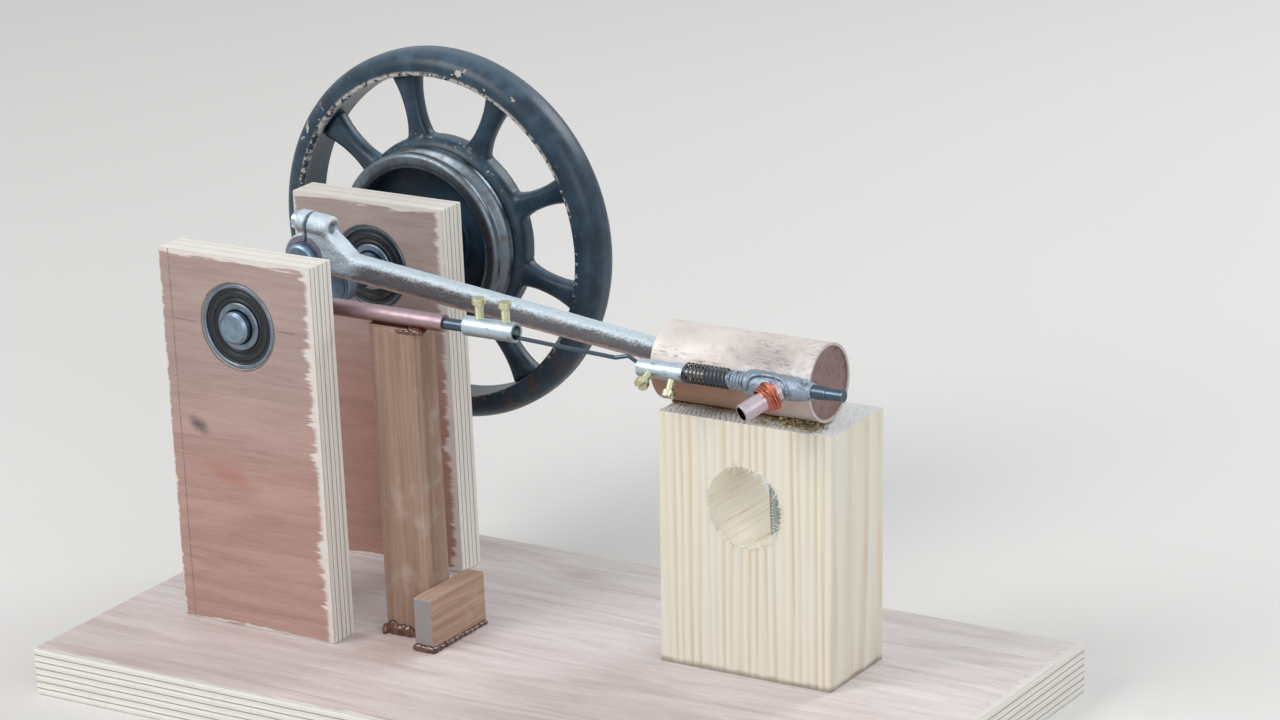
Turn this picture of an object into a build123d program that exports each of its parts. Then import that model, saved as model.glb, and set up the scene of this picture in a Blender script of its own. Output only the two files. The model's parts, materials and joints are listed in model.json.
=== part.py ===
# A homemade desktop model steam engine: plywood stand, ball bearings, spoked flywheel, copper cylinder.
# Millimetres. X runs from the crank to the cylinder, Y from the front to the flywheel, Z is up.
# The origin is the centre of the base board's underside.
import os
from math import acos, asin, cos, degrees, pi, radians, sin, sqrt

from build123d import *

os.makedirs("parts", exist_ok=True)

# Clearances
SEAT = 0.02  # glued, pressed or resting faces on round pieces
RUNNING = 0.05  # radial clearance of what turns or slides
SIDE_GAP = 0.3  # sideways clearance between turning pieces

# Base board and the two uprights
BASE_LENGTH, BASE_DEPTH, BASE_T = 340.0, 172.0, 18.0
UPRIGHT_W, UPRIGHT_H, UPRIGHT_T = 68.0, 142.0, 12.5
UPRIGHT_GAP = 69.0  # clear distance between the uprights
UPRIGHT_LEFT_INSET = 30.0  # from the board's left end
UPRIGHT_FRONT_INSET = 52.0  # from the board's front edge

# Ball bearings
BEARING_OD, BEARING_BORE, BEARING_W = 32.0, 12.0, 10.0
OUTER_RING_T = 1.7
INNER_RING_T = 2.9
SEAL_INSET = 0.5
SHAFT_OFFSET = 34.0  # shaft from the uprights' left edge
SHAFT_HEIGHT = 116.0  # shaft above the board
SHAFT_END = 3.2  # stub in front of the front bearing

# Crank
THROW = 13.1
CRANK_ANGLE = 111.5  # of the crank pin at rest, from +X towards +Z
FRONT_WEB_T, REAR_WEB_T = 3.2, 5.5
WEB_ROOT_R, FRONT_WEB_TIP_R, REAR_WEB_TIP_R = 8.0, 6.0, 5.5
WEB_DOME_R = 1.5  # rounding of the front web's face
PIN_R = 6.0

# Connecting rod
ROD_LENGTH = 173.5
ROD_PLANE = 52.0  # rod's middle behind the front upright's front face
ROD_T = 8.0
ROD_H_BIG, ROD_H_SMALL, ROD_EDGE_R = 10.6, 8.2, 3.2
BIG_EYE_R, SMALL_EYE_R = 9.0, 5.2
LUG_R, LUG_LENGTH, LUG_SHIFT, LUG_RISE = 4.6, 14.8, 2.5, 12.4
NECK_REACH, NECK_SHOULDER_U, NECK_SHOULDER_V = 20.0, 14.0, 8.6  # neck between the clamp and the shank
SLIT_W = 1.3
PINCH_R, PINCH_HEAD_R, PINCH_HEAD_T = 2.0, 3.5, 2.2

# Cylinder and piston
CYLINDER_OD, CYLINDER_WALL, CYLINDER_LENGTH = 28.0, 1.0, 64.0
CAP_T, CAP_INSET = 2.5, 0.5  # end disc, a little inside the tube
CYLINDER_OVERHANG = 1.9  # open end left of the block's top
PORT_R, PORT_SETBACK = 1.2, 3.5  # steam port, from the end disc
BEDDING_T, BEDDING_W = 1.0, 12.0
PISTON_FRONT, PISTON_SKIRT = 14.0, 7.0  # crown and skirt, from the wrist pin
PISTON_CROWN_T, PISTON_WALL = 4.5, 2.4
WRIST_R = 2.5

# Block under the cylinder
BLOCK_W, BLOCK_D, BLOCK_H = 69.6, 36.0, 94.3
BLOCK_LEAN = 3.4  # the hand-cut block leans, its top this far to the right
BLOCK_OFFSET = 183.0  # block's left foot from the uprights' left edge
BLOCK_BACK_SHIFT = 5.5  # block's middle behind the rod's plane
BORE_R, BORE_SHIFT, BORE_HEIGHT = 15.0, 0.0, 63.5
SCREW_R, SCREW_SHIFT, SCREW_LENGTH = 2.0, 1.9, 52.0  # screw through the bore, right of its middle
SCREW_COVER = 4.8  # screw's top below the block's top

# Guide post and valve rod
POST_W, POST_D, POST_H = 19.5, 13.5, 117.2
POST_OFFSET, POST_SETBACK = 78.0, 19.1  # from the uprights' left edge and front face
BRACE_T, BRACE_D, BRACE_H, BRACE_SETBACK = 8.0, 34.0, 20.0, 9.0
SADDLE_T, SADDLE_W = 0.5, 7.0
GUIDE_OD, GUIDE_LENGTH, GUIDE_OVERHANG = 6.2, 49.7, 18.5
GUIDE_SETBACK = 3.5  # tube's axis behind the post's front face
PUSH_R = 2.1
CAM_BASE_R, CAM_LIFT, CAM_NOSE_R, CAM_T, CAM_ANGLE = 8.0, 4.2, 2.5, 7.0, 150.0
TIP_GAP = 0.2  # push rod's tip to the lobe's circle
COUPLER_R, COUPLER_BORE_R, COUPLER_LENGTH, COUPLER_GRIP = 3.6, 2.6, 21.0, 9.0
COUPLER_GAP = 9.3  # front coupler behind the guide tube
REAR_COUPLER_R, REAR_COUPLER_BORE_R, REAR_COUPLER_LENGTH = 3.2, 2.1, 18.5
REAR_COUPLER_GAP = -1.2  # rear coupler from the cylinder's open end
BRASS_SHANK_R, BRASS_HEAD_R, BRASS_HEAD_T = 1.5, 2.5, 2.2
FRONT_STAND, REAR_STAND = 5.0, 3.4  # screw heads above their barrel
SCREW_SLOT_W, SCREW_SLOT_DEPTH = 0.6, 0.9
WIRE_R, WIRE_BEND_R = 0.75, 1.8

# Valve
VALVE_AXIS_RISE = 2.7  # above the cylinder's axis
VALVE_OFFSET, VALVE_LENGTH = 35.5, 33.0  # body from the cylinder's open end, and its length
VALVE_R, VALVE_END_R, VALVE_TAPER = 4.2, 3.0, 5.5
NOSE_R, NOSE_LENGTH = 2.7, 9.5  # thin tube inside the spring
STEM_R, STEM_LENGTH = 1.5, 51.0
PLUG_R, PLUG_TIP_R, PLUG_LENGTH, PLUG_STEP = 2.4, 2.1, 11.8, 5.2
SPRING_WIRE, SPRING_OD, SPRING_COILS = 0.7, 7.4, 11
INLET_OFFSET = 21.5  # from the body's left end
INLET_R, INLET_BORE_R, INLET_LENGTH = 3.3, 2.4, 18.5
ROOT_R, ROOT_TAPER, MOUTH_CHAMFER = 3.5, 0.6, 0.3
COLLAR_R, COLLAR_LENGTH, COLLAR_GAP = 4.8, 4.5, 0.8

# Flywheel
WHEEL_R, RIM_DEPTH, RIM_W = 72.5, 9.5, 17.0
WHEEL_PLANE = 132.0  # rim's middle behind the front upright's front face
SPOKES = 9
SPOKE_ROOT_W, SPOKE_WAIST_W, SPOKE_END_W, SPOKE_T = 13.6, 7.4, 10.0, 8.0
SPOKE_FIRST = 103.0
HUB_R, HUB_T, HUB_ADVANCE = 39.0, 10.0, 7.4  # hub's front face ahead of the rim's middle
BOSS_R, BOSS_FRONT, BOSS_BACK = 14.0, 14.0, 5.0
SHAFT_TAIL = 4.0  # shaft behind the rim
PULLEY_R, PULLEY_WALL, PULLEY_W = 36.0, 6.0, 12.5
GROOVE_DEPTH, GROOVE_W = 3.2, 6.0

# Places worked out from the sizes
front_y = -BASE_DEPTH / 2 + UPRIGHT_FRONT_INSET  # front upright's front face
left_x = -BASE_LENGTH / 2 + UPRIGHT_LEFT_INSET
rear_y = front_y + UPRIGHT_T + UPRIGHT_GAP  # rear upright's front face
shaft_x, shaft_z = left_x + SHAFT_OFFSET, BASE_T + SHAFT_HEIGHT
shaft_r = BEARING_BORE / 2
rod_y = front_y + ROD_PLANE
pin_x = shaft_x + THROW * cos(radians(CRANK_ANGLE))
pin_z = shaft_z + THROW * sin(radians(CRANK_ANGLE))
block_x = left_x + BLOCK_OFFSET
block_y = rod_y + BLOCK_BACK_SHIFT
block_top = BASE_T + BLOCK_H
cylinder_z = block_top + BEDDING_T + CYLINDER_OD / 2
cylinder_x = block_x + BLOCK_LEAN - CYLINDER_OVERHANG
bore_r = CYLINDER_OD / 2 - CYLINDER_WALL
rod_tilt = asin((pin_z - cylinder_z) / ROD_LENGTH)
wrist_x = pin_x + ROD_LENGTH * cos(rod_tilt)
post_x, post_y = left_x + POST_OFFSET, front_y + POST_SETBACK
guide_x = post_x - GUIDE_OVERHANG
guide_y = post_y + GUIDE_SETBACK
guide_z = BASE_T + POST_H + SADDLE_T + GUIDE_OD / 2
valve_z = cylinder_z + VALVE_AXIS_RISE
valve_y = rod_y - sqrt((CYLINDER_OD / 2 + VALVE_R + SEAT) ** 2 - VALVE_AXIS_RISE**2)
wheel_y = front_y + WHEEL_PLANE
hub_front = wheel_y - HUB_ADVANCE
front_coupler_x = guide_x + GUIDE_LENGTH + COUPLER_GAP
rear_coupler_x = cylinder_x + REAR_COUPLER_GAP
valve_x = cylinder_x + VALVE_OFFSET
plug_x = valve_x + VALVE_LENGTH
valve = (valve_y, valve_z)


def ring(r, bore=0.0):
    return Circle(r) - Circle(bore) if bore else Circle(r)


def along_x(y, z, x0, x1, r, bore=0.0):
    plane = Plane(origin=(x0, y, z), x_dir=(0, 1, 0), z_dir=(1, 0, 0))
    return extrude(plane * ring(r, bore), x1 - x0)


def along_y(x, z, y0, y1, r, bore=0.0):
    plane = Plane(origin=(x, y1, z), x_dir=(1, 0, 0), z_dir=(0, -1, 0))
    return extrude(plane * ring(r, bore), y1 - y0)


def along_z(x, y, z0, z1, r, bore=0.0):
    return extrude(Plane(origin=(x, y, z0)) * ring(r, bore), z1 - z0)


def box(x0, y0, z0, length, depth, height):
    return Pos(x0, y0, z0) * Box(length, depth, height, align=(Align.MIN,) * 3)


def facing(x, y, z, turn=0.0):
    """A plane that faces the front, its x axis turned by an angle from +X towards +Z."""
    a = radians(turn)
    return Plane(origin=(x, y, z), x_dir=(cos(a), 0, sin(a)), z_dir=(0, -1, 0))


def tapered(r0, r1, distance):
    """Outline of two circles and their common tangents, the first at the origin, the second along x."""
    a = acos((r0 - r1) / distance)
    corners = [(r0 * cos(a), r0 * sin(a)), (distance + r1 * cos(a), r1 * sin(a)),
               (distance + r1 * cos(a), -r1 * sin(a)), (r0 * cos(a), -r0 * sin(a))]
    return make_face(Polyline(*corners, close=True)) + Circle(r0) + Pos(distance, 0) * Circle(r1)


def save(name, solid):
    export_step(solid, f"parts/{name}.step")


# Stand
save("base_board", box(-BASE_LENGTH / 2, -BASE_DEPTH / 2, 0, BASE_LENGTH, BASE_DEPTH, BASE_T))
for name, y in (("front", front_y), ("rear", rear_y)):
    upright = box(left_x, y, BASE_T, UPRIGHT_W, UPRIGHT_T, UPRIGHT_H)
    save(f"{name}_upright", upright - along_y(shaft_x, shaft_z, y - 1, y + UPRIGHT_T + 1, BEARING_OD / 2 + SEAT))
    # the bearing is flush with the upright's front face
    back, outer, inner = y + BEARING_W, BEARING_OD / 2 - OUTER_RING_T, BEARING_BORE / 2 + INNER_RING_T
    save(f"{name}_bearing_outer_ring", chamfer(
        along_y(shaft_x, shaft_z, y, back, BEARING_OD / 2, outer).edges().filter_by(GeomType.CIRCLE), 0.4))
    save(f"{name}_bearing_inner_ring", chamfer(
        along_y(shaft_x, shaft_z, y, back, inner, shaft_r + SEAT).edges().filter_by(GeomType.CIRCLE), 0.4))
    save(f"{name}_bearing_seal",
         along_y(shaft_x, shaft_z, y + SEAL_INSET, back - SEAL_INSET, outer - SEAT, inner + RUNNING))

# Crankshaft: two journals, two webs
front_web_back = rod_y - LUG_R - SIDE_GAP
front_web_y = front_web_back - FRONT_WEB_T
rear_web_y = rod_y + LUG_R + SIDE_GAP
rear_web_back = rear_web_y + REAR_WEB_T
save("front_journal", chamfer(
    along_y(shaft_x, shaft_z, front_y - SHAFT_END, front_web_back, shaft_r).edges().sort_by(Axis.Y)[0], 1.0))
save("main_shaft", chamfer(
    along_y(shaft_x, shaft_z, rear_web_y, wheel_y + RIM_W / 2 + SHAFT_TAIL, shaft_r).edges().sort_by(Axis.Y)[-1], 1.0))
for name, y, back, tip in (("front", front_web_y, front_web_back, FRONT_WEB_TIP_R),
                           ("rear", rear_web_y, rear_web_back, REAR_WEB_TIP_R)):
    plane = facing(shaft_x, back, shaft_z, CRANK_ANGLE)
    web = extrude(plane * tapered(WEB_ROOT_R, tip, THROW), back - y)
    if name == "front":
        web = fillet(web.faces().sort_by(Axis.Y)[0].edges(), WEB_DOME_R)
    save(f"{name}_crank_web", web - along_y(shaft_x, shaft_z, y - 1, back + 1, shaft_r + SEAT))

# Crank pin, clamped in the rod's eye and running between the webs
save("crank_pin", along_y(pin_x, pin_z, front_web_back + SIDE_GAP, rear_web_y - SIDE_GAP, PIN_R))

# Connecting rod with a split clamp over its big eye
rod_plane = facing(pin_x, rod_y + ROD_T / 2, pin_z, -degrees(rod_tilt))
shank = make_face(Polyline((0, -ROD_H_BIG / 2), (0, ROD_H_BIG / 2), (ROD_LENGTH, ROD_H_SMALL / 2),
                           (ROD_LENGTH, -ROD_H_SMALL / 2), close=True))
rod = extrude(rod_plane * shank, ROD_T)
rod = fillet(rod.edges().filter_by(lambda e: e.length > ROD_LENGTH / 2), ROD_EDGE_R)
rod += extrude(rod_plane * (Circle(BIG_EYE_R) + Pos(ROD_LENGTH, 0) * Circle(SMALL_EYE_R)), ROD_T)
neck = make_face(Polyline((0, 0), (LUG_SHIFT - LUG_R, LUG_RISE), (LUG_SHIFT + LUG_LENGTH / 2 - 1, LUG_RISE - 1),
                          (NECK_SHOULDER_U, NECK_SHOULDER_V), (NECK_REACH, ROD_H_BIG / 2 - 1), (NECK_REACH, 0),
                          close=True))
rod += extrude(rod_plane * neck, ROD_T)


def rod_frame(u, v, w=0.0):
    """A point of the rod: along it from the crank pin, across it, and behind its middle."""
    c, s = cos(rod_tilt), sin(rod_tilt)
    return (pin_x + u * c + v * s, rod_y + w, pin_z - u * s + v * c)


def along_rod(v, u0, u1, r, bore=0.0):
    plane = Plane(origin=rod_frame(u0, v), x_dir=(0, 1, 0), z_dir=(cos(rod_tilt), 0, -sin(rod_tilt)))
    return extrude(plane * ring(r, bore), u1 - u0)


lug_left, lug_right = LUG_SHIFT - LUG_LENGTH / 2, LUG_SHIFT + LUG_LENGTH / 2
rod += chamfer(along_rod(LUG_RISE, lug_left, lug_right, LUG_R).edges().filter_by(GeomType.CIRCLE), 0.6)
rod -= along_y(pin_x, pin_z, rod_y - ROD_T, rod_y + ROD_T, PIN_R + SEAT)
rod -= along_y(wrist_x, cylinder_z, rod_y - ROD_T, rod_y + ROD_T, WRIST_R + RUNNING)
slit_plane = facing(pin_x, rod_y + ROD_T, pin_z, -degrees(rod_tilt))
rod -= extrude(slit_plane * Pos(0, PIN_R / 2 + 2 * LUG_R) * Rectangle(SLIT_W, 4 * LUG_R), 2 * ROD_T)
rod -= along_rod(LUG_RISE, lug_left - 1, lug_right + 1, PINCH_R + SEAT)
save("connecting_rod", rod)
pinch = along_rod(LUG_RISE, lug_left, lug_right - 3, PINCH_R)
pinch += along_rod(LUG_RISE, lug_left - PINCH_HEAD_T, lug_left, PINCH_HEAD_R)
pinch -= extrude(Plane(origin=rod_frame(lug_left - PINCH_HEAD_T, LUG_RISE), x_dir=(0, 1, 0),
                       z_dir=(cos(rod_tilt), 0, -sin(rod_tilt))) * Rot(0, 0, 20) * Rectangle(3 * PINCH_HEAD_R, 0.8), 1.2)
save("pinch_screw", pinch)

# Piston and wrist pin
piston_r = bore_r - RUNNING
piston = along_x(rod_y, cylinder_z, wrist_x - PISTON_SKIRT, wrist_x + PISTON_FRONT, piston_r)
piston -= along_x(rod_y, cylinder_z, wrist_x - PISTON_SKIRT - 1, wrist_x + PISTON_FRONT - PISTON_CROWN_T,
                  piston_r - PISTON_WALL)
piston -= along_y(wrist_x, cylinder_z, rod_y - bore_r, rod_y + bore_r, WRIST_R + SEAT)
save("piston", piston)
pin_half = piston_r - 1.0
save("wrist_pin", along_y(wrist_x, cylinder_z, rod_y - pin_half, rod_y + pin_half, WRIST_R))

# Cylinder on its wooden block
cap_x = cylinder_x + CYLINDER_LENGTH - CAP_INSET - CAP_T
port_x = cap_x - PORT_SETBACK
port_z = cylinder_z + VALVE_AXIS_RISE * CYLINDER_OD / (CYLINDER_OD + 2 * VALVE_R)
port = along_y(port_x, port_z, valve_y, rod_y, PORT_R)
cylinder = along_x(rod_y, cylinder_z, cylinder_x, cylinder_x + CYLINDER_LENGTH, CYLINDER_OD / 2, bore_r)
save("cylinder_tube", cylinder - port)
save("cylinder_cap", along_x(rod_y, cylinder_z, cap_x, cap_x + CAP_T, bore_r - SEAT))
bedding_x = block_x + BLOCK_LEAN
bedding = box(bedding_x, rod_y - BEDDING_W / 2, block_top, CYLINDER_LENGTH - 4, BEDDING_W, BEDDING_T + 3)
save("cylinder_bedding", bedding - along_x(
    rod_y, cylinder_z, bedding_x - 1, bedding_x + BLOCK_W, CYLINDER_OD / 2 + SEAT))
side = Polyline((0, 0), (BLOCK_W, 0), (BLOCK_W + BLOCK_LEAN, BLOCK_H), (BLOCK_LEAN, BLOCK_H), close=True)
block = extrude(facing(block_x, block_y + BLOCK_D / 2, BASE_T) * make_face(side), BLOCK_D)
bore_x = block_x + BLOCK_W / 2 + BORE_SHIFT + BLOCK_LEAN * BORE_HEIGHT / BLOCK_H
bore_z = BASE_T + BORE_HEIGHT
block -= along_y(bore_x, bore_z, block_y - BLOCK_D, block_y + BLOCK_D, BORE_R)
screw_top = block_top - SCREW_COVER
screw = (bore_x + SCREW_SHIFT, block_y, screw_top - SCREW_LENGTH, screw_top)
save("cylinder_block", block - along_z(*screw, SCREW_R + SEAT))
save("block_screw", along_z(*screw, SCREW_R))

# Post, brace and guide tube of the valve rod
save("guide_post", box(post_x, post_y, BASE_T, POST_W, POST_D, POST_H))
save("post_brace", box(post_x + POST_W, front_y + BRACE_SETBACK, BASE_T, BRACE_T, BRACE_D, BRACE_H))
save("guide_saddle", box(post_x, guide_y - SADDLE_W / 2, BASE_T + POST_H, POST_W, SADDLE_W, SADDLE_T))
save("guide_tube", along_x(guide_y, guide_z, guide_x, guide_x + GUIDE_LENGTH, GUIDE_OD / 2, PUSH_R + RUNNING))

# Cam on the front journal, and the valve's push rod
nose = CAM_BASE_R + CAM_LIFT
cam = facing(shaft_x, guide_y + CAM_T / 2, shaft_z, CAM_ANGLE) * (
    tapered(CAM_BASE_R, CAM_NOSE_R, nose - CAM_NOSE_R) - Circle(shaft_r + SEAT))
save("valve_cam", extrude(cam, CAM_T))
tip_x = shaft_x + nose + TIP_GAP
save("push_rod", chamfer(
    along_x(guide_y, guide_z, tip_x, front_coupler_x + COUPLER_GRIP, PUSH_R).edges().sort_by(Axis.X)[0], 0.5))


# Couplers, each a barrel with two slotted clamping screws
def lean(angle, y, z, distance):
    """The y and z of a point moved along a screw's direction, an angle from straight up to the front."""
    a = radians(angle)
    return y - distance * sin(a), z + distance * cos(a)


def coupler(name, x, y, z, length, r, bore, stand, left, right):
    """A barrel around its axis. Each held piece lies against the bore on the side away from its screw.

    left and right are the screw's share of the length, the held piece's radius and the screw's angle.
    """
    barrel = along_x(y, z, x, x + length, r, bore + SEAT)
    for side, (at, grip, tilt) in (("left", left), ("right", right)):
        def bolt(start, stop, section):
            origin = (x + at * length, *lean(tilt, y, z, start))
            return extrude(Plane(origin=origin, x_dir=(1, 0, 0), z_dir=(0, *lean(tilt, 0, 0, 1))) * section, stop - start)
        top = r + stand + BRASS_HEAD_T
        barrel -= bolt(0, r + 2, Circle(BRASS_SHANK_R + SEAT))
        screw = bolt(2 * grip - bore + SEAT, r + stand, Circle(BRASS_SHANK_R))
        screw += bolt(r + stand, top, Circle(BRASS_HEAD_R))
        screw -= bolt(top - SCREW_SLOT_DEPTH, top + 1, Rot(0, 0, 35) * Rectangle(3 * BRASS_HEAD_R, SCREW_SLOT_W))
        save(f"{name}_{side}_screw", screw)
    save(name, barrel)


FRONT_TILT, REAR_LEFT_TILT, REAR_RIGHT_TILT = 0.0, 115.0, 150.0
front_axis = lean(FRONT_TILT, guide_y, guide_z, COUPLER_BORE_R - PUSH_R)
rear_axis = lean(REAR_RIGHT_TILT, valve_y, valve_z, REAR_COUPLER_BORE_R - STEM_R)
coupler("front_coupler", front_coupler_x, *front_axis, COUPLER_LENGTH, COUPLER_R, COUPLER_BORE_R,
        FRONT_STAND, (0.27, PUSH_R, FRONT_TILT), (0.8, WIRE_R, FRONT_TILT))
coupler("rear_coupler", rear_coupler_x, *rear_axis, REAR_COUPLER_LENGTH, REAR_COUPLER_R, REAR_COUPLER_BORE_R,
        REAR_STAND, (0.27, WIRE_R, REAR_LEFT_TILT), (0.74, STEM_R, REAR_RIGHT_TILT))

# Link wire between the couplers, bent by hand
wire_front = lean(FRONT_TILT, *front_axis, WIRE_R - COUPLER_BORE_R)
wire_rear = lean(REAR_LEFT_TILT, *rear_axis, WIRE_R - REAR_COUPLER_BORE_R)
wire_path = FilletPolyline(
    (front_coupler_x + COUPLER_LENGTH / 2 + 1.5, *wire_front), (front_coupler_x + COUPLER_LENGTH + 2.5, *wire_front),
    (rear_coupler_x - 9.8, valve_y - 0.8, valve_z + 1.7), (rear_coupler_x - 4.8, valve_y, valve_z + 2.8),
    (rear_coupler_x - 0.8, *wire_rear), (rear_coupler_x + REAR_COUPLER_LENGTH / 2 - 0.5, *wire_rear), radius=WIRE_BEND_R)
save("link_wire", sweep(Plane(origin=wire_path @ 0, z_dir=wire_path % 0) * Circle(WIRE_R), path=wire_path))

# Valve: stem, spring, body, plug, inlet pipe
stem_start = rear_coupler_x + REAR_COUPLER_LENGTH / 2 + 0.5
save("valve_stem", along_x(*valve, stem_start, stem_start + STEM_LENGTH, STEM_R))
spring_x = rear_coupler_x + REAR_COUPLER_LENGTH + 0.2
spring_length = valve_x - spring_x - 0.2
coil_r = (SPRING_OD - SPRING_WIRE) / 2
turn = Plane(origin=(spring_x + SPRING_WIRE / 2, *valve), x_dir=(0, 1, 0), z_dir=(1, 0, 0))
helix = turn * Helix((spring_length - SPRING_WIRE) / SPRING_COILS, spring_length - SPRING_WIRE, coil_r)
save("valve_spring", sweep(Plane(origin=helix @ 0, z_dir=helix % 0) * Circle(SPRING_WIRE / 2), path=helix))
stem_bore = STEM_R + RUNNING
outline = Polyline((valve_x - NOSE_LENGTH, stem_bore), (valve_x - NOSE_LENGTH, NOSE_R), (valve_x, NOSE_R),
                   (valve_x, VALVE_R), (plug_x - VALVE_TAPER, VALVE_R), (plug_x, VALVE_END_R),
                   (plug_x, stem_bore), close=True)
body = revolve(Plane(origin=(0, *valve), x_dir=(1, 0, 0), z_dir=(0, -1, 0)) * make_face(outline),
               Axis((0, *valve), (1, 0, 0)), 360)
inlet_x = valve_x + INLET_OFFSET
inlet_dir = Vector(-0.443, -0.838, -0.324).normalized()
inlet_plane = Plane(origin=(inlet_x, *valve), z_dir=inlet_dir)
save("valve_body", body - extrude(inlet_plane * Circle(INLET_BORE_R), VALVE_R + 2) - port)
plug = along_x(*valve, plug_x, plug_x + PLUG_STEP, PLUG_R)
plug += along_x(*valve, plug_x + PLUG_STEP, plug_x + PLUG_LENGTH, PLUG_TIP_R)
save("valve_plug", plug)
# the pipe's thicker root carries the wire collar; a hose fits over the rest
outside = along_x(*valve, valve_x, plug_x, VALVE_R + SEAT)
root_end = VALVE_R + COLLAR_GAP + COLLAR_LENGTH
wall = Polyline((INLET_BORE_R, 0), (ROOT_R, 0), (ROOT_R, root_end), (INLET_R, root_end + ROOT_TAPER),
                (INLET_R, INLET_LENGTH - MOUTH_CHAMFER), (INLET_R - MOUTH_CHAMFER, INLET_LENGTH),
                (INLET_BORE_R, INLET_LENGTH), close=True)
section = Plane(origin=inlet_plane.origin, x_dir=inlet_plane.x_dir, z_dir=-inlet_plane.y_dir)
save("inlet_pipe", revolve(section * make_face(wall), Axis(inlet_plane.origin, inlet_dir), 360) - outside)
collar_plane = inlet_plane.offset(VALVE_R + COLLAR_GAP)
save("inlet_collar", extrude(collar_plane * ring(COLLAR_R, ROOT_R + SEAT), COLLAR_LENGTH) - outside)

# Flywheel: rim, spoked hub and belt pulley, all on the main shaft
wheel_axis = Axis((shaft_x, 0, shaft_z), (0, 1, 0))
profile_plane = Plane(origin=(shaft_x, 0, shaft_z))


def turned(sketch):
    return revolve(profile_plane * sketch, wheel_axis, 360)


rim_section = Pos(WHEEL_R - RIM_DEPTH / 2, wheel_y) * Rectangle(RIM_DEPTH, RIM_W)
rim_section = fillet(rim_section.vertices().group_by(Axis.X)[-1], 7.0)
rim_section = fillet(rim_section.vertices().group_by(Axis.X)[0], 1.2)
save("flywheel_rim", turned(rim_section))
rim_inner = WHEEL_R - RIM_DEPTH
spoke_mid = (HUB_R + rim_inner) / 2
spoke = make_face(
    Line((HUB_R - 4, -SPOKE_ROOT_W / 2), (HUB_R - 4, SPOKE_ROOT_W / 2))
    + ThreePointArc((HUB_R - 4, SPOKE_ROOT_W / 2), (spoke_mid, SPOKE_WAIST_W / 2), (rim_inner + 3, SPOKE_END_W / 2))
    + Line((rim_inner + 3, SPOKE_END_W / 2), (rim_inner + 3, -SPOKE_END_W / 2))
    + ThreePointArc((rim_inner + 3, -SPOKE_END_W / 2), (spoke_mid, -SPOKE_WAIST_W / 2), (HUB_R - 4, -SPOKE_ROOT_W / 2)))
spider = along_y(shaft_x, shaft_z, hub_front, hub_front + HUB_T, HUB_R)
for i in range(SPOKES):
    turn_to = SPOKE_FIRST + i * 360 / SPOKES
    spider += extrude(facing(shaft_x, wheel_y + SPOKE_T / 2, shaft_z, turn_to) * spoke, SPOKE_T)
spider &= along_y(shaft_x, shaft_z, hub_front - 1, wheel_y + SPOKE_T, rim_inner - SEAT)
spider += along_y(shaft_x, shaft_z, hub_front - BOSS_FRONT, hub_front + HUB_T + BOSS_BACK, BOSS_R)
spider -= along_y(shaft_x, shaft_z, hub_front - BOSS_FRONT - 1, hub_front + HUB_T + BOSS_BACK + 1, shaft_r + SEAT)
save("flywheel_hub", spider)
groove_y = hub_front - PULLEY_W / 2
pulley_section = make_face(Polyline(
    (PULLEY_R - PULLEY_WALL, hub_front - PULLEY_W), (PULLEY_R, hub_front - PULLEY_W), (PULLEY_R, groove_y - GROOVE_W / 2),
    (PULLEY_R - GROOVE_DEPTH, groove_y - 0.8), (PULLEY_R - GROOVE_DEPTH, groove_y + 0.8), (PULLEY_R, groove_y + GROOVE_W / 2),
    (PULLEY_R, hub_front), (PULLEY_R - PULLEY_WALL, hub_front), close=True))
save("belt_pulley", turned(pulley_section))
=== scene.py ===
"""Dresses the model steam engine: plywood stand, cast flywheel, metal cylinder on a pine block.

The CAD part comes in as a fixed frame in metres. This script gives each node its finish, adds what is too
small or too rough for the CAD, and sets up a plain studio with the camera at the photograph's angle.
Sizes below are in millimetres, in the same frame as the part, and meshes are scaled to metres once made.
"""

import json
import random
from math import copysign, cos, radians, sin, tau

import bmesh
import bpy
from mathutils import Matrix, Vector, noise


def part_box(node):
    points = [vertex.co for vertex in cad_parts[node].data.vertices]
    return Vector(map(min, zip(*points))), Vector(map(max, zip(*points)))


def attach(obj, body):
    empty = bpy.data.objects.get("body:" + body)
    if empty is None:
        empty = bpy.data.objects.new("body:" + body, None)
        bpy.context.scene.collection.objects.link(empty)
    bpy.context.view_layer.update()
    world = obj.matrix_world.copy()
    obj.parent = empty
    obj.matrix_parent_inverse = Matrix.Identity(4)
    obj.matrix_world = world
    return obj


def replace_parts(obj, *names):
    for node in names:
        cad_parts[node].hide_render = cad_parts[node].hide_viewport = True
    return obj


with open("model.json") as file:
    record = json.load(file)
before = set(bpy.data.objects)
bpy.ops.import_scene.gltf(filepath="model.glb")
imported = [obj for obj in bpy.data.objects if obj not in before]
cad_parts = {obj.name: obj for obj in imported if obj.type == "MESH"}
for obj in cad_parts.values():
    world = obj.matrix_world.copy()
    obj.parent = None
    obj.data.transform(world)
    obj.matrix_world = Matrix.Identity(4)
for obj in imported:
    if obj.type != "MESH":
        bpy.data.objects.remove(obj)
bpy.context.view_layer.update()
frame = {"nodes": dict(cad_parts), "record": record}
MM = 0.001
noise.seed_set(5)  # without a seed, noise_vector starts from the clock and each run differs


def rgb(color):
    return (*color[:3], 1.0)


def linked(name, data):
    """A new object, linked into the scene."""
    item = bpy.data.objects.new(name, data)
    bpy.context.collection.objects.link(item)
    return item


def evaluated(holder):
    """The plain mesh that an object's modifiers or curve make. The object itself goes."""
    mesh = bpy.data.meshes.new_from_object(holder.evaluated_get(bpy.context.evaluated_depsgraph_get()))
    bpy.data.objects.remove(holder)
    return mesh


def as_mesh(bm, name):
    """Ends a bmesh and returns it as a mesh."""
    mesh = bpy.data.meshes.new(name)
    bm.to_mesh(mesh)
    bm.free()
    return mesh


# Node graphs


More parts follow.
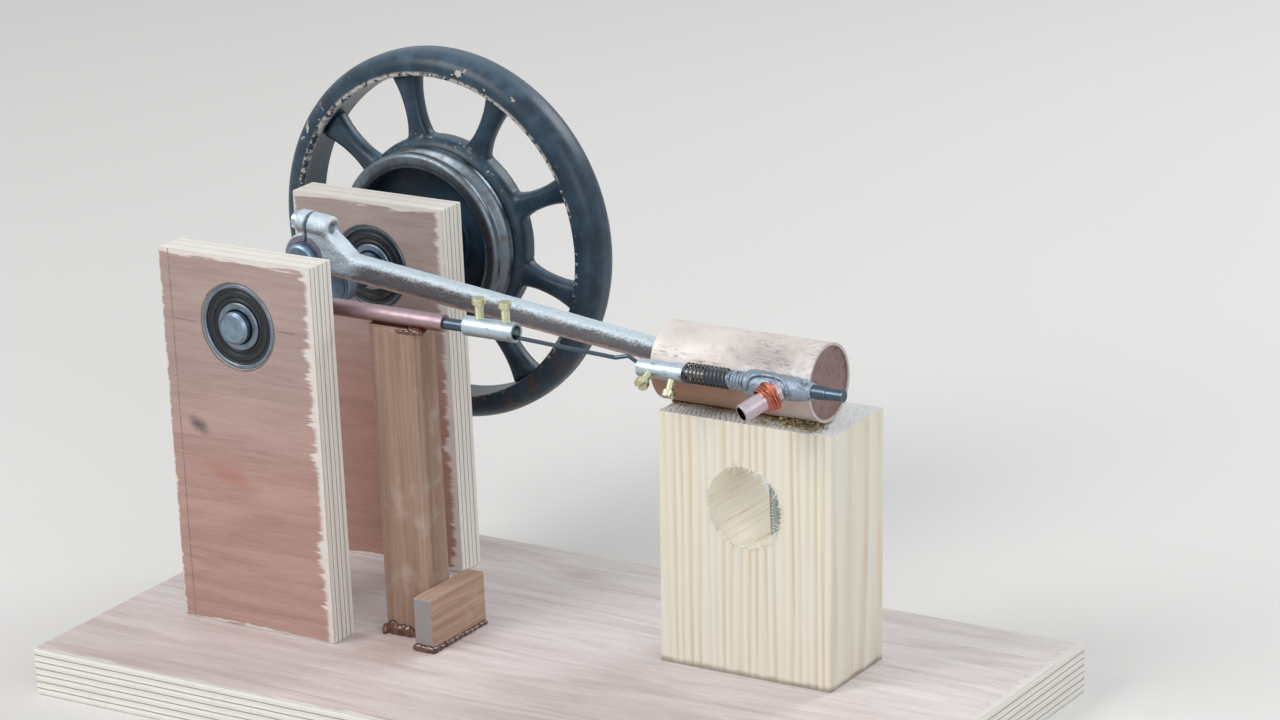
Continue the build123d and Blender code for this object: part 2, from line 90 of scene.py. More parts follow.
def maths(operation):
    """A method that adds one Math node, with the field itself as its first value."""
    return lambda field, *values: field.math(operation, field, *values)


class Field:
    """A socket in a graph. Arithmetic on it adds Math nodes, so shader maths reads as expressions."""

    __add__ = __radd__ = maths("ADD")
    __sub__ = maths("SUBTRACT")
    __mul__ = __rmul__ = maths("MULTIPLY")
    __truediv__ = maths("DIVIDE")
    __pow__ = maths("POWER")
    __abs__ = maths("ABSOLUTE")
    least, most, fraction = maths("MINIMUM"), maths("MAXIMUM"), maths("FRACT")

    def __init__(self, graph, socket):
        self.graph, self.socket = graph, socket

    def math(self, operation, *values):
        return self.graph.node("ShaderNodeMath", {"operation": operation}, values)

    def __rsub__(self, other):
        return self.math("SUBTRACT", other, self)

    def step(self, low, high):
        """0 at low, 1 at high and smooth between; low may be above high, and then it falls."""
        return self.graph.node("ShaderNodeMapRange", {"interpolation_type": "SMOOTHSTEP"},
                               {"Value": self, "From Min": low, "From Max": high})


class Graph:
    """A node tree that is written one call a node."""

    def __init__(self, tree):
        self.tree = tree
        tree.nodes.clear()

    def node(self, kind, settings=None, inputs=(), output=0):
        """Adds a node: its settings first, then values or links into its sockets. Returns one output."""
        node = self.tree.nodes.new(kind)
        for key, value in (settings or {}).items():
            if key == "stops":
                elements = node.color_ramp.elements
                while len(elements) < len(value):
                    elements.new(1.0)
                for element, (at, color) in zip(elements, value):
                    element.position, element.color = at, rgb(color)
            else:
                setattr(node, key, value)
        for key, value in inputs.items() if isinstance(inputs, dict) else enumerate(inputs):
            if isinstance(value, Field):
                self.tree.links.new(value.socket, node.inputs[key])
            else:
                node.inputs[key].default_value = value
        return Field(self, node.outputs[output]) if node.outputs else None

    def vector(self, operation, inputs, output=0):
        return self.node("ShaderNodeVectorMath", {"operation": operation}, inputs, output)


class Finish(Graph):
    """A material being written.

    x, y and z are its place in millimetres, nx, ny and nz how far it faces along each, either way, and up is
    1 on top, 0 on a side and -1 below.
    """

    def __init__(self, name):
        self.material = bpy.data.materials.new(name)
        self.material.use_nodes = True
        super().__init__(self.material.node_tree)
        metres = self.node("ShaderNodeTexCoord", output="Object")
        self.place = self.vector("SCALE", {0: metres, "Scale": 1000.0})
        self.x, self.y, self.z = self.split(self.place)
        facing = self.node("ShaderNodeNewGeometry", output="True Normal")
        self.nx, self.ny, self.up = self.split(facing)
        self.nx, self.ny, self.nz = abs(self.nx), abs(self.ny), abs(self.up)

    def split(self, vector):
        parts = self.node("ShaderNodeSeparateXYZ", inputs=[vector]).socket.node
        return [Field(self, socket) for socket in parts.outputs]

    def spread(self, per_mm):
        """The place stretched: per_mm is one number, or one for each axis, in cycles per millimetre."""
        size = per_mm if isinstance(per_mm, tuple) else (per_mm,) * 3
        return self.vector("MULTIPLY", [self.place, size])

    def noise(self, per_mm, detail=3.0, roughness=0.55, distortion=0.0):
        return self.node("ShaderNodeTexNoise", {}, {"Vector": self.spread(per_mm), "Scale": 1.0, "Detail": detail,
                                                    "Roughness": roughness, "Distortion": distortion})

    def away(self, axes, centre):
        """Distance in millimetres from a point or a line: axes are the fields that count, centre their values."""
        total = sum(((axis - at) ** 2.0 for axis, at in zip(axes, centre)), 0.0)
        return total ** 0.5

    def mix(self, factor, a, b, blend="MIX"):
        a, b = (color if isinstance(color, Field) else rgb(color) for color in (a, b))
        return self.node("ShaderNodeMix", {"data_type": "RGBA", "blend_type": blend}, {0: factor, 6: a, 7: b}, 2)

    def ramp(self, value, *stops):
        return self.node("ShaderNodeValToRGB", {"stops": stops}, [value])

    def bump(self, height, depth_mm):
        return self.node("ShaderNodeBump", {}, {"Height": height, "Distance": depth_mm * MM, "Strength": 1.0})

    def edges(self, radius_mm):
        """Rises from 0 on a piece's faces towards 1 on its sharp edges."""
        soft = self.node("ShaderNodeBevel", {"samples": 4}, {"Radius": radius_mm * MM})
        flat = self.node("ShaderNodeNewGeometry", output="Normal")
        return 1 - self.vector("DOT_PRODUCT", [soft, flat], "Value")

    def surface(self, color, roughness, normal=None, metallic=0.0, **fixed):
        """Ends the finish. fixed holds constants of the shader, by socket name."""
        inputs = {"Base Color": color if isinstance(color, Field) else rgb(color), "Roughness": roughness,
                  "Metallic": metallic, **{key.replace("_", " "): value for key, value in fixed.items()}}
        if normal:
            inputs["Normal"] = normal
        self.node("ShaderNodeOutputMaterial", {}, [self.node("ShaderNodeBsdfPrincipled", {}, inputs)])
        return self.material


class Pattern(Graph):
    """A Geometry Nodes tree with named sizes, whose result becomes a plain mesh."""

    def __init__(self, name, **sizes):
        self.group = bpy.data.node_groups.new(name, "GeometryNodeTree")
        super().__init__(self.group)
        self.sockets = {}
        for key, value in sizes.items():
            kind = "NodeSocketInt" if isinstance(value, int) else "NodeSocketFloat"
            self.sockets[key] = self.group.interface.new_socket(key, in_out="INPUT", socket_type=kind)
            self.sockets[key].default_value = value
        self.group.interface.new_socket("Geometry", in_out="OUTPUT", socket_type="NodeSocketGeometry")
        given = self.tree.nodes.new("NodeGroupInput")
        self.size = {key: Field(self, given.outputs[key]) for key in sizes}

    def end(self, geometry, material):
        real = self.node("GeometryNodeRealizeInstances", {}, [geometry])
        dressed = self.node("GeometryNodeSetMaterial", {}, {"Geometry": real, "Material": material})
        self.node("NodeGroupOutput", {}, [dressed])
        return self

    def mesh(self, name, **values):
        """Runs the tree with these sizes, in millimetres, and returns its plain mesh."""
        holder = linked(name, bpy.data.meshes.new(name))
        modifier = holder.modifiers.new("pattern", "NODES")
        modifier.node_group = self.group
        for key, value in values.items():
            modifier[self.sockets[key].identifier] = value
        return evaluated(holder)


# Finishes


def corners(node):
    """A node's lowest and highest corners, in millimetres."""
    low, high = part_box(node)
    return [1000 * v for v in low], [1000 * v for v in high]


def middle(node):
    """The middle of a node's box, in millimetres."""
    low, high = corners(node)
    return [(a + b) / 2 for a, b in zip(low, high)]


SHAFT_X, _, SHAFT_Z = middle("front_bearing_outer_ring")


def veneer(f, low_tone, high_tone, fade):
    """Colour and grain height of veneer whose grain runs along x. It fades from one tone to the other."""
    fibres = f.noise((0.05, 2.4, 2.4), 4.0, 0.6)
    pores = f.noise((0.16, 4.5, 4.5), 2.0).step(0.58, 0.72)
    bands = f.noise((0.011, 0.11, 0.11), 3.0, 0.5, 1.4)
    color = f.mix(fade, *(tuple(v * 1.16 for v in tone) for tone in (low_tone, high_tone)))
    shade = f.ramp(bands * 0.6 + fibres * 0.4, (0.34, (1.0, 1.0, 1.0)), (0.5, (0.87, 0.85, 0.84)),
                   (0.66, (0.72, 0.66, 0.64)))
    color = f.mix(1.0, color, shade, "MULTIPLY")
    color = f.mix(pores * 0.4, color, tuple(v * 0.5 for v in low_tone))
    return color, fibres * 0.6 - pores * 0.5


def ply_edge(f, through, low, thickness, plies):
    """Colour and height of the glued layers on a plywood board's edges."""
    wobble = (f.noise(0.06, 2.0) - 0.5) * 0.35
    layer = (through - low + wobble) * (plies / thickness)
    glue_line = abs(layer.fraction() - 0.5).step(0.385, 0.455)
    crossed = abs((layer / 2).fraction() - 0.5).step(0.23, 0.27)
    streaks = f.noise((0.12, 1.6, 0.12), 3.0) * 0.5 + f.noise(0.9, 3.0) * 0.5
    wood = f.mix(crossed, (0.85, 0.84, 0.80), (0.79, 0.765, 0.71))
    wood = f.mix(streaks.step(0.50, 0.72) * 0.25, wood, (0.56, 0.50, 0.44))
    # glue lines are fainter on edges that face up
    shown = 0.8 - f.up.step(0.6, 0.95) * 0.62
    return f.mix(glue_line * shown, wood, (0.24, 0.19, 0.165)), 1 - glue_line


def plywood(name, node, across, plies, tones, fade, tear, marked=False):
    """Plywood with a veneer face, layered edges and a splintered pale border.

    across is y or z, the board's thickness. fade is where along its other side the tones change. tear is how
    far splinters reach in from the left end, the right end and the long sides.
    """
    f = Finish(name)
    low, high = corners(node)
    i, other = (1, 2) if across == "y" else (2, 1)
    through, on_face, side = (f.y, f.ny, f.z) if across == "y" else (f.z, f.nz, f.y)
    face, face_height = veneer(f, *tones, side.step(*fade))
    edge, edge_height = ply_edge(f, through, low[i], high[i] - low[i], plies)
    # splinters run along the grain, so they reach far from the ends and hardly from the long sides
    torn = (f.noise((0.02, 0.30, 0.30), 4.0, 0.65) - 0.47).most(0.0)
    soft = f.noise(0.35, 3.0) * 2.2
    right = (high[0] - f.x - torn * tear[1] - soft - 0.6).step(1.8, -0.6)
    left = (f.x - low[0] - torn * tear[0] - 0.25).step(0.5, -0.2)
    frayed = (f.noise((0.06, 0.5, 0.5), 3.0) - 0.42).most(0.0) * tear[2]
    lower = (side - low[other] - frayed - 0.3).step(0.6, -0.2)
    upper = (high[other] - side - frayed - 0.9).step(0.8, -0.4)
    border = right.most(left).most(lower.most(upper))
    face = f.mix(border * 0.85, face, f.mix(f.noise((0.1, 1.4, 1.4)), (0.84, 0.82, 0.78), (0.70, 0.66, 0.61)))
    if marked:
        front = (f.y - low[1]).step(0.6, 0.2)
        rough = f.noise(0.5, 3.0)
        line = abs(f.x - low[0] - 4.6 + (f.noise(0.02, 1.0) - 0.5)).step(0.34, 0.12)
        level = abs(f.z - SHAFT_Z - 0.6).step(0.40, 0.15) * abs(f.x - SHAFT_X - 21).step(5.5, 4.0)
        level = level.most(abs(f.z - SHAFT_Z + 0.3).step(0.3, 0.1) * abs(f.x - SHAFT_X + 24).step(6.0, 4.5))
        pencil = line.most(level) * rough.step(0.30, 0.52) * 0.7

        def blot(x, z, stretch, slant):
            """Distance from the middle of a long, slanting mark with a rough outline."""
            return f.away((f.x / stretch, f.z + f.x * slant), (x / stretch, z + x * slant)) + rough * 3

        smudge = blot(-127, 94, 1.7, 0.3).step(5.4, 2.0)
        stain = blot(-114, 76, 2.6, 0.25).step(7.0, 2.5)
        face = f.mix(stain * 0.5 * front, face, (0.40, 0.15, 0.10))
        face = f.mix(pencil * front, face, (0.13, 0.11, 0.11))
        face = f.mix(smudge * 0.8 * front, face, (0.07, 0.065, 0.07))
    if across == "y":
        # the board is dark in a thin ring round the bearing's hole
        hole = (f.away((f.x, f.z), (SHAFT_X, SHAFT_Z)) + f.noise(0.3, 2.0) * 0.7).step(17.3, 16.6)
        face = f.mix(hole * 0.85, face, (0.045, 0.035, 0.03))
    else:
        # a reddish stain on the board, in front of the guide post
        spill = (f.away((f.x, f.y * 0.9), (-50, -30 * 0.9)) + f.noise(0.10, 4.0) * 46).step(52.0, 20.0)
        face = f.mix(spill * 0.42, face, (0.50, 0.29, 0.24))
    flat = on_face.step(0.6, 0.9)
    color = f.mix(flat, edge, face)
    height = (face_height * 0.25 + (1 - border)) * flat + edge_height * (1 - flat) * 0.5
    gloss = 0.62 - flat * (1 - border) * 0.14 + f.noise(0.4) * 0.1
    return f.surface(color, gloss, f.bump(height, 0.2))


def pine(bore):
    """Sawn pine with upright growth rings, torn grey end grain on top, and a roughly drilled bore."""
    f = Finish("block_pine")
    low, high = corners("cylinder_block")
    warp = f.noise((0.05, 0.03, 0.0025), 2.0) * 13
    rings = (f.x + f.y * 0.33 + warp - f.z * 0.03) / 3.4
    late = rings.fraction().step(0.22, 0.72) * rings.fraction().step(1.0, 0.80)
    year = f.noise((0.21, 0.12, 0.004), 2.0).step(0.34, 0.66)
    fibres = f.noise((2.6, 2.6, 0.035), 4.0, 0.6)
    color = f.mix(fibres, (0.84, 0.83, 0.745), (0.77, 0.74, 0.635))
    color = f.mix(late * (year * 0.65 + 0.12), color, (0.66, 0.515, 0.335))
    color = f.mix(f.noise((0.07, 0.07, 0.006), 3.0).step(0.50, 0.68) * 0.4, color, (0.76, 0.66, 0.47))
    top = (f.z - high[2]).step(-1.2, -0.3) * f.nz.step(0.6, 0.9)
    sawn = f.noise((1.5, 0.35, 1.0), 4.0, 0.7)
    double = (rings * 2).fraction()
    streak = double.step(0.50, 0.82) * double.step(1.0, 0.88) * f.noise((0.5, 0.12, 1.0), 4.0, 0.7).step(0.38, 0.58)
    grey = f.mix(sawn, (0.92, 0.945, 0.945), (0.77, 0.80, 0.81))
    grey = f.mix(streak * (f.x.step(106.0, 84.0) * 0.55 + 0.3), grey, (0.21, 0.235, 0.265))
    # two brown stains, by their middles and half widths
    for x, y, wide, deep in ((63.0, 14.5, 4.2, 2.2), (102.5, 11.6, 5.0, 2.8)):
        reach = f.away((f.x / wide, f.y / deep), (x / wide, y / deep)) + f.noise(0.5, 3.0) * 0.9
        grey = f.mix(reach.step(1.6, 0.9) * 0.6, grey, (0.56, 0.38, 0.23))
    color = f.mix(top, color, grey)
    # inside the bore the drill has left lines along it
    inside = f.away((f.x, f.z), bore).step(15.35, 15.1) * f.ny.step(0.75, 0.5)
    drilled = f.noise((0.95, 0.03, 0.95), 4.0, 0.65)
    warm = f.ramp(drilled, (0.40, (0.93, 0.90, 0.81)), (0.58, (0.88, 0.825, 0.70)), (0.76, (0.66, 0.55, 0.41)))
    knot = f.away((f.x / 4.0, f.y / 9.0), ((bore[0] - 9.5) / 4.0, (low[1] + 15.0) / 9.0)) + f.noise(0.3, 3.0) * 0.8
    warm = f.mix(knot.step(1.5, 0.6) * f.z.step(bore[1], bore[1] + 6.0) * 0.6, warm, (0.72, 0.43, 0.24))
    color = f.mix(inside, color, warm)
    # the block is darker along its foot, where it meets the board
    dark_foot = (f.z - low[2] - f.noise(0.15, 3.0) * 3).step(1.2, -1.2)
    color = f.mix(dark_foot * 0.75, color, (0.22, 0.17, 0.14))
    height = fibres * 0.5 + late * 0.35 + top * sawn * 1.4 + inside * drilled * 1.2
    return f.surface(color, 0.6, f.bump(height, 0.15))


def dark_wood(name, end_grain_axis, light=1.0):
    """Brown hardwood, worn paler on its edges, with grey saw marks on its end grain."""
    f = Finish(name)
    along_grain = {"z": (1.7, 1.7, 0.05), "y": (1.7, 0.05, 1.7)}[end_grain_axis]
    fibres = f.noise(along_grain, 4.0, 0.62, 0.4)
    bands = f.noise(tuple(v * 0.12 for v in along_grain), 3.0, 0.5, 0.8)
    tones = ((0.40, 0.28, 0.215), (0.30, 0.195, 0.145), (0.195, 0.115, 0.08))
    tones = [tuple(v * light for v in tone) for tone in tones]
    color = f.ramp(bands * 0.6 + fibres * 0.4, (0.32, tones[0]), (0.5, tones[1]), (0.70, tones[2]))
    color = f.mix(f.noise(0.10, 4.0).step(0.52, 0.72) * 0.45, color, (0.47, 0.38, 0.32))
    worn = (f.edges(0.9) * 3).least(1.0) * f.noise(0.6, 4.0).step(0.38, 0.58)
    color = f.mix(worn * 0.8, color, (0.66, 0.58, 0.50))
    facing = f.ny if end_grain_axis == "y" else f.nz
    sawn = f.noise((3.0, 3.0, 0.35), 4.0, 0.7)
    end = f.mix(sawn, (0.38, 0.365, 0.36), (0.17, 0.165, 0.165))
    color = f.mix(facing.step(0.6, 0.9), color, end)
    return f.surface(color, 0.55 + fibres * 0.15, f.bump(fibres * 0.6 + sawn * 0.4, 0.12))


def metal(name, color, roughness, spots=None, spot_share=0.0, grain=None, depth=0.03, pits=0.0, wear=None,
          painted_shade_below=None, metallic=1.0, hollow=None):
    """Bare metal with uneven polish.

    spots is a stain's colour, grain the brushing's scale, wear a bright edge and under the colour of painted shade
    on the underside.
    hollow is a dark bore's point on its axis, direction and radius.
    """
    f = Finish(name)
    cloud = f.noise(0.22, 4.0, 0.6)
    fine = f.noise(grain or 3.0, 4.0, 0.65)
    base = f.mix(cloud.step(0.35, 0.7) * 0.45, color, tuple(v * 0.72 for v in color))
    rough = roughness + (cloud - 0.5) * 0.22 + (fine - 0.5) * 0.14
    if painted_shade_below:
        # painted shade: faces that point down take the given shade colour
        base = f.mix((f.up + (cloud - 0.5) * 0.9).step(0.10, -0.65) * 0.85, base, painted_shade_below)
    if spots:
        stain = (f.noise(0.35, 5.0, 0.65) + f.noise(2.2, 3.0) * 0.25).step(0.80 - spot_share, 0.92 - spot_share)
        base = f.mix(stain * 0.8, base, spots)
        rough = rough + stain * 0.25
    if wear:
        base = f.mix((f.edges(0.5) * 2.5).least(1.0) * f.noise(1.2, 4.0).step(0.35, 0.6), base, wear)
    if hollow:
        point, direction, radius = hollow
        across = f.vector("CROSS_PRODUCT", [f.vector("SUBTRACT", [f.place, point]), direction])
        from_axis = f.vector("LENGTH", [across], "Value")
        base = f.mix(from_axis.step(radius + 0.25, radius + 0.05), base, (0.05, 0.03, 0.025))
    height = fine
    if pits:
        height = fine * 0.5 + f.noise(pits, 4.0, 0.6)
    return f.surface(base, rough.most(0.08), f.bump(height, depth), metallic)


def cylinder_metal():
    """Worn rose-beige metal: fine scratches round it, soot near the valve and painted brown shade underneath."""
    f = Finish("cylinder_brass")
    cloud, fine = f.noise(0.09, 4.0, 0.6), f.noise((0.3, 2.2, 2.2), 4.0, 0.65)
    color = f.mix(cloud.step(0.35, 0.68), (0.78, 0.735, 0.71), (0.69, 0.625, 0.59))
    # painted shade: the underside is painted dark brown, more towards the left end
    painted_underside_shade = (f.up + (cloud - 0.5) * 0.8).step(0.20, -0.20) * (f.x.step(112.0, 72.0) * 0.6 + 0.35)
    color = f.mix(painted_underside_shade * 0.9, color, f.mix(fine, (0.15, 0.05, 0.016), (0.33, 0.145, 0.06)))
    low, high = corners("cylinder_tube")
    scratch = f.noise((0.16, 0.9, 0.9), 5.0, 0.72, 1.8).step(0.55, 0.62)
    place = f.noise(0.055, 2.0).step(0.44, 0.56) * f.z.step(high[2] - 15.0, high[2] - 7.0)
    soot = (f.away(((f.x - 90) * 0.22, f.z - 136.5), (0.0, 0.0)) + f.noise(0.3, 4.0) * 4).step(7.5, 3.0)
    color = f.mix((scratch * place * 0.75).most(soot * (scratch * 0.4 + 0.4)), color, (0.24, 0.235, 0.25))
    end = f.x.step(high[0] - 3.5, high[0] - 0.5) * f.noise(0.5, 4.0).step(0.35, 0.6)
    color = f.mix(end * 0.5, color, (0.50, 0.45, 0.46))
    return f.surface(color, 0.56 + (fine - 0.5) * 0.2 + soot * 0.15, f.bump(fine + scratch * 0.5, 0.04), 0.30)


def cast_alloy(pin):
    """The rod's rough casting: painted highlight on top and on the neck, painted shade at the sides, a painted
    brown reflection below, and a darker turned face round the crank pin.
    """
    f = Finish("cast_rod_alloy")
    cloud, rough = f.noise(0.22, 4.0, 0.6), f.noise(1.0, 5.0, 0.7)
    neck = f.away((f.x, f.z), pin).step(29.0, 17.0)
    # painted light: the top and the neck are painted bright and the sides dark, as light falls on them
    painted_light = (f.up + (rough - 0.5) * 0.9 + neck * 0.6).step(0.0, 0.75)
    color = f.mix(painted_light, (0.165, 0.165, 0.18), (0.60, 0.70, 0.775))
    # painted reflection: the underside is painted brown, as the board below would show in it
    color = f.mix((f.up + (cloud - 0.5) * 0.6).step(-0.20, -0.60), color, (0.56, 0.40, 0.345))
    turned = f.away((f.x, f.z), pin).step(8.6, 8.2) * f.ny.step(0.75, 0.95)
    color = f.mix(turned * 0.85, color, (0.22, 0.19, 0.24))
    specks = f.noise(1.7, 4.0, 0.7).step(0.58, 0.70) * (1 - neck * 0.6)
    color = f.mix(specks * 0.6, color, (0.15, 0.135, 0.135))
    return f.surface(color, 0.50 + (rough - 0.5) * 0.3, f.bump(rough - specks * 0.6, 0.4), 0.75)


def enamel(name, part):
    """Blue-black enamel over iron, with a painted sky sheen on its upward faces. part is rim or spider, which are
    chipped in different places.
    """
    f = Finish(name)
    front = corners("flywheel_rim")[0][1]
    radius = f.away((f.x, f.z), (SHAFT_X, SHAFT_Z))
    rim_lip, rim_face, hub_edge = 63.4, 67.5, 38.4  # radii where it is chipped
    dust_and_sheen = f.noise(0.12, 4.0, 0.6)
    color = f.mix(dust_and_sheen.step(0.35, 0.8), (0.011, 0.029, 0.050), (0.030, 0.066, 0.108))
    # painted sheen: faces that point up are painted a paler blue, as a reflected sky
    color = f.mix((f.up + (dust_and_sheen - 0.5)).step(0.45, 1.0) * 0.5, color, (0.085, 0.155, 0.23))
    flake = f.noise(0.55, 5.0, 0.7)
    upper = f.z.step(115.0, 190.0)
    if part == "rim":
        lip = f.away((radius, f.y), (rim_lip, front + 0.8)).step(2.1, 1.0)
        chip = lip * (flake + f.noise(0.05, 2.0) * 0.3 + upper * 0.16).step(0.73, 0.79)
        patch = abs(radius - rim_face).step(4.2, 1.0) * (f.noise(0.16, 4.0, 0.6) + upper * 0.05).step(0.69, 0.72)
        chip = chip.most(patch)
        rust = f.z.step(105.0, 72.0) * f.noise(0.09, 3.0).step(0.46, 0.62)
        color = f.mix(rust * 0.6, color, (0.12, 0.062, 0.045))
    else:
        edge = f.away((radius, f.y), (hub_edge, front + 3.2)).step(3.4, 1.6)
        chip = (edge * (flake + upper * 0.09).step(0.675, 0.72)).most(flake.step(0.735, 0.76))
    bare = f.mix(f.noise(1.5, 3.0), (0.66, 0.65, 0.63), (0.34, 0.28, 0.24))
    color = f.mix(chip, color, bare)
    skin = f.noise(0.35, 3.0) * 0.7 + f.noise(1.6, 3.0) * 0.2 - chip * 0.5
    return f.surface(color, 0.34 + chip * 0.3 + dust_and_sheen * 0.14, f.bump(skin, 0.12), 0.0, Coat_Weight=0.12,
                     Coat_Roughness=0.25, Specular_IOR_Level=0.35)


def rubber_seal():
    """Greasy black rubber."""
    f = Finish("bearing_seal_rubber")
    grease = f.noise(0.45, 4.0).step(0.45, 0.75)
    color = f.mix(grease, (0.005, 0.008, 0.012), (0.015, 0.021, 0.028))
    return f.surface(color, 0.38 + grease * 0.2, f.bump(f.noise(4.0, 2.0), 0.02))


def glue(name, color, roughness=0.16):
    """A glossy dried drop, darker where it is thick."""
    f = Finish(name)
    cloud = f.noise(0.5, 4.0)
    base = f.mix(cloud.step(0.35, 0.65), color, tuple(v * 0.35 for v in color))
    return f.surface(base, roughness + cloud * 0.12, f.bump(f.noise(0.9, 3.0), 0.12), Coat_Weight=0.6)


def lathe_turned(name, color, roughness, spots, painted_shade_radius=0.0):
    """Metal with turning marks around the shaft's axis, with painted shade up to a radius, in the gap round the
    shaft.
    """
    f = Finish(name)
    radius = f.away((f.x, f.z), (SHAFT_X, SHAFT_Z))
    marks = (radius * 3.1 + f.noise(0.6, 2.0) * 0.8).fraction()
    cloud = f.noise(0.3, 4.0, 0.6)
    base = f.mix(cloud.step(0.42, 0.72) * 0.7, color, spots)
    if painted_shade_radius:
        # painted shade: within this radius the gap between the shaft and the ring is painted near black
        base = f.mix(radius.step(painted_shade_radius, painted_shade_radius - 0.4), base, (0.03, 0.035, 0.045))
    turning = abs(marks - 0.5) + f.noise(2.5) * 0.4
    return f.surface(base, roughness + (cloud - 0.5) * 0.24, f.bump(turning, 0.02), 1.0)


SCREW_SHIFT = 1.9  # the block's screw, right of the bore's middle
BLOCK_BORE = (middle("block_screw")[0] - SCREW_SHIFT, middle("block_screw")[2])
CRANK_PIN = middle("crank_pin")[::2]
RED_PLY = ((0.435, 0.275, 0.245), (0.385, 0.285, 0.265))
STEAM_INLET = next(mount for mount in frame["record"]["mounts"] if mount["name"] == "steam_inlet")
INLET, INLET_OUT = Vector(STEAM_INLET["pos_m"]) * 1000.0, Vector(STEAM_INLET["axis"])
FINISHES = {
    "front_upright": plywood("front_upright_plywood", "front_upright", "y", 5, RED_PLY, (70.0, 125.0),
                             (5, 17, 8), marked=True),
    "rear_upright": plywood("rear_upright_plywood", "rear_upright", "y", 5,
                            ((0.39, 0.225, 0.19), (0.385, 0.315, 0.30)), (80.0, 135.0), (5, 14, 8)),
    "base_board": plywood("base_plywood", "base_board", "z", 7, ((0.67, 0.60, 0.595), (0.72, 0.68, 0.69)),
                          (-70.0, 40.0), (8, 20, 14)),
    "cylinder_block": pine(BLOCK_BORE),
    "splinter": metal("torn_fibres", (0.93, 0.92, 0.87), 0.7, metallic=0.0),
    "guide_post": dark_wood("post_wood", "z"),
    "post_brace": dark_wood("brace_wood", "y", 1.35),
    "bearing_ring": lathe_turned("bearing_steel", (0.21, 0.25, 0.305), 0.40, (0.13, 0.16, 0.20), 6.9),
    # the rear bearing's outer ring: the same steel painted darker, as painted shade
    "rear_ring_painted_shade": lathe_turned("painted_shade_bearing_steel", (0.10, 0.125, 0.16), 0.34, (0.05, 0.06, 0.07), 6.9),
    "seal": rubber_seal(),
    "shaft": lathe_turned("turned_shaft_steel", (0.24, 0.32, 0.41), 0.38, (0.16, 0.20, 0.25)),
    "web": metal("crank_web_steel", (0.25, 0.36, 0.48), 0.42, (0.16, 0.19, 0.24), 0.05, wear=(0.45, 0.5, 0.56)),
    # the crank pin: the shaft's steel painted paler, as a painted highlight on its dome
    "pin": lathe_turned("crank_pin_steel_painted_highlight", (0.36, 0.46, 0.58), 0.45, (0.24, 0.30, 0.38)),
    "push_rod": metal("blued_steel", (0.085, 0.12, 0.16), 0.34, (0.04, 0.04, 0.05), 0.06, wear=(0.4, 0.45, 0.5)),
    "rod": cast_alloy(CRANK_PIN),
    # the plated barrel is painted darker grey below, as painted shade
    "plated": metal("plated_barrel", (0.53, 0.635, 0.73), 0.42, (0.22, 0.22, 0.21), 0.11, depth=0.06,
                    painted_shade_below=(0.34, 0.36, 0.38)),
    "piston": metal("piston_steel", (0.42, 0.43, 0.44), 0.38),
    "tube": cylinder_metal(),
    "disc": metal("cylinder_end_copper", (0.30, 0.205, 0.20), 0.44, (0.20, 0.13, 0.125), 0.12, depth=0.05,
                  wear=(0.62, 0.50, 0.44)),
    # the guide tube is painted brown below, as painted shade
    "copper": metal("worn_copper", (0.41, 0.305, 0.34), 0.48, (0.27, 0.15, 0.125), 0.08, grain=(0.1, 2.5, 2.5),
                    painted_shade_below=(0.27, 0.14, 0.10)),
    "inlet": metal("inlet_copper", (0.60, 0.52, 0.58), 0.40, (0.40, 0.24, 0.21), 0.06, grain=(0.8, 0.8, 0.8),
                   hollow=(INLET, INLET_OUT, 2.4)),
    "saddle": metal("copper_strip", (0.50, 0.33, 0.30), 0.42, (0.26, 0.16, 0.12), 0.08),
    "brass": metal("screw_brass", (0.68, 0.68, 0.46), 0.30, (0.33, 0.30, 0.17), 0.08),
    "pinch": metal("pinch_screw_steel", (0.52, 0.57, 0.65), 0.32),
    "zinc": metal("zinc_screw", (0.48, 0.54, 0.545), 0.40, (0.40, 0.40, 0.36), 0.05),
    # the pulley's brown spots are painted reflections of the wood round it
    "pulley": lathe_turned("polished_pulley_steel", (0.17, 0.215, 0.26), 0.40, (0.13, 0.10, 0.08)),
    "rim": enamel("rim_enamel", "rim"),
    "spider": enamel("spoke_enamel", "spider"),
    "tinned": metal("tinned_valve_body", (0.31, 0.385, 0.475), 0.44, (0.15, 0.16, 0.18), 0.15, pits=0.8, depth=0.3),
    "spring": metal("spring_steel", (0.08, 0.085, 0.095), 0.30, wear=(0.5, 0.5, 0.5)),
    "wire_wrap": metal("wrap_copper", (0.62, 0.22, 0.15), 0.34, (0.22, 0.07, 0.045), 0.16),
    "flux": glue("dried_flux", (0.40, 0.27, 0.17), 0.4),
    "glue": glue("brown_glue", (0.15, 0.050, 0.025)),
    "crumb": metal("solder_crumb", (0.52, 0.42, 0.20), 0.50, (0.22, 0.16, 0.08), 0.15, pits=1.5, depth=0.2,
                   metallic=0.4),
}

# Pieces


def show(name, mesh, body, finish, smooth_angle=32.0):
    """Makes an object of a mesh that is in metres, gives it its finish and lets it ride on a body."""
    mesh.name = name
    piece = linked(name, mesh)
    mesh.materials.clear()
    mesh.materials.append(FINISHES[finish])
    mesh.shade_smooth()
    mesh.set_sharp_from_angle(angle=radians(smooth_angle))
    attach(piece, body)
    return piece


def body_of(node):
    return next(body for body, nodes in frame["record"]["behaviour"]["bodies"].items() if node in nodes)


def coat(node, finish):
    """Gives a CAD node, whose shape stays, its finish."""
    materials = frame["nodes"][node].data.materials
    for i in range(len(materials)):
        materials[i] = FINISHES[finish]
    if not len(materials):
        materials.append(FINISHES[finish])


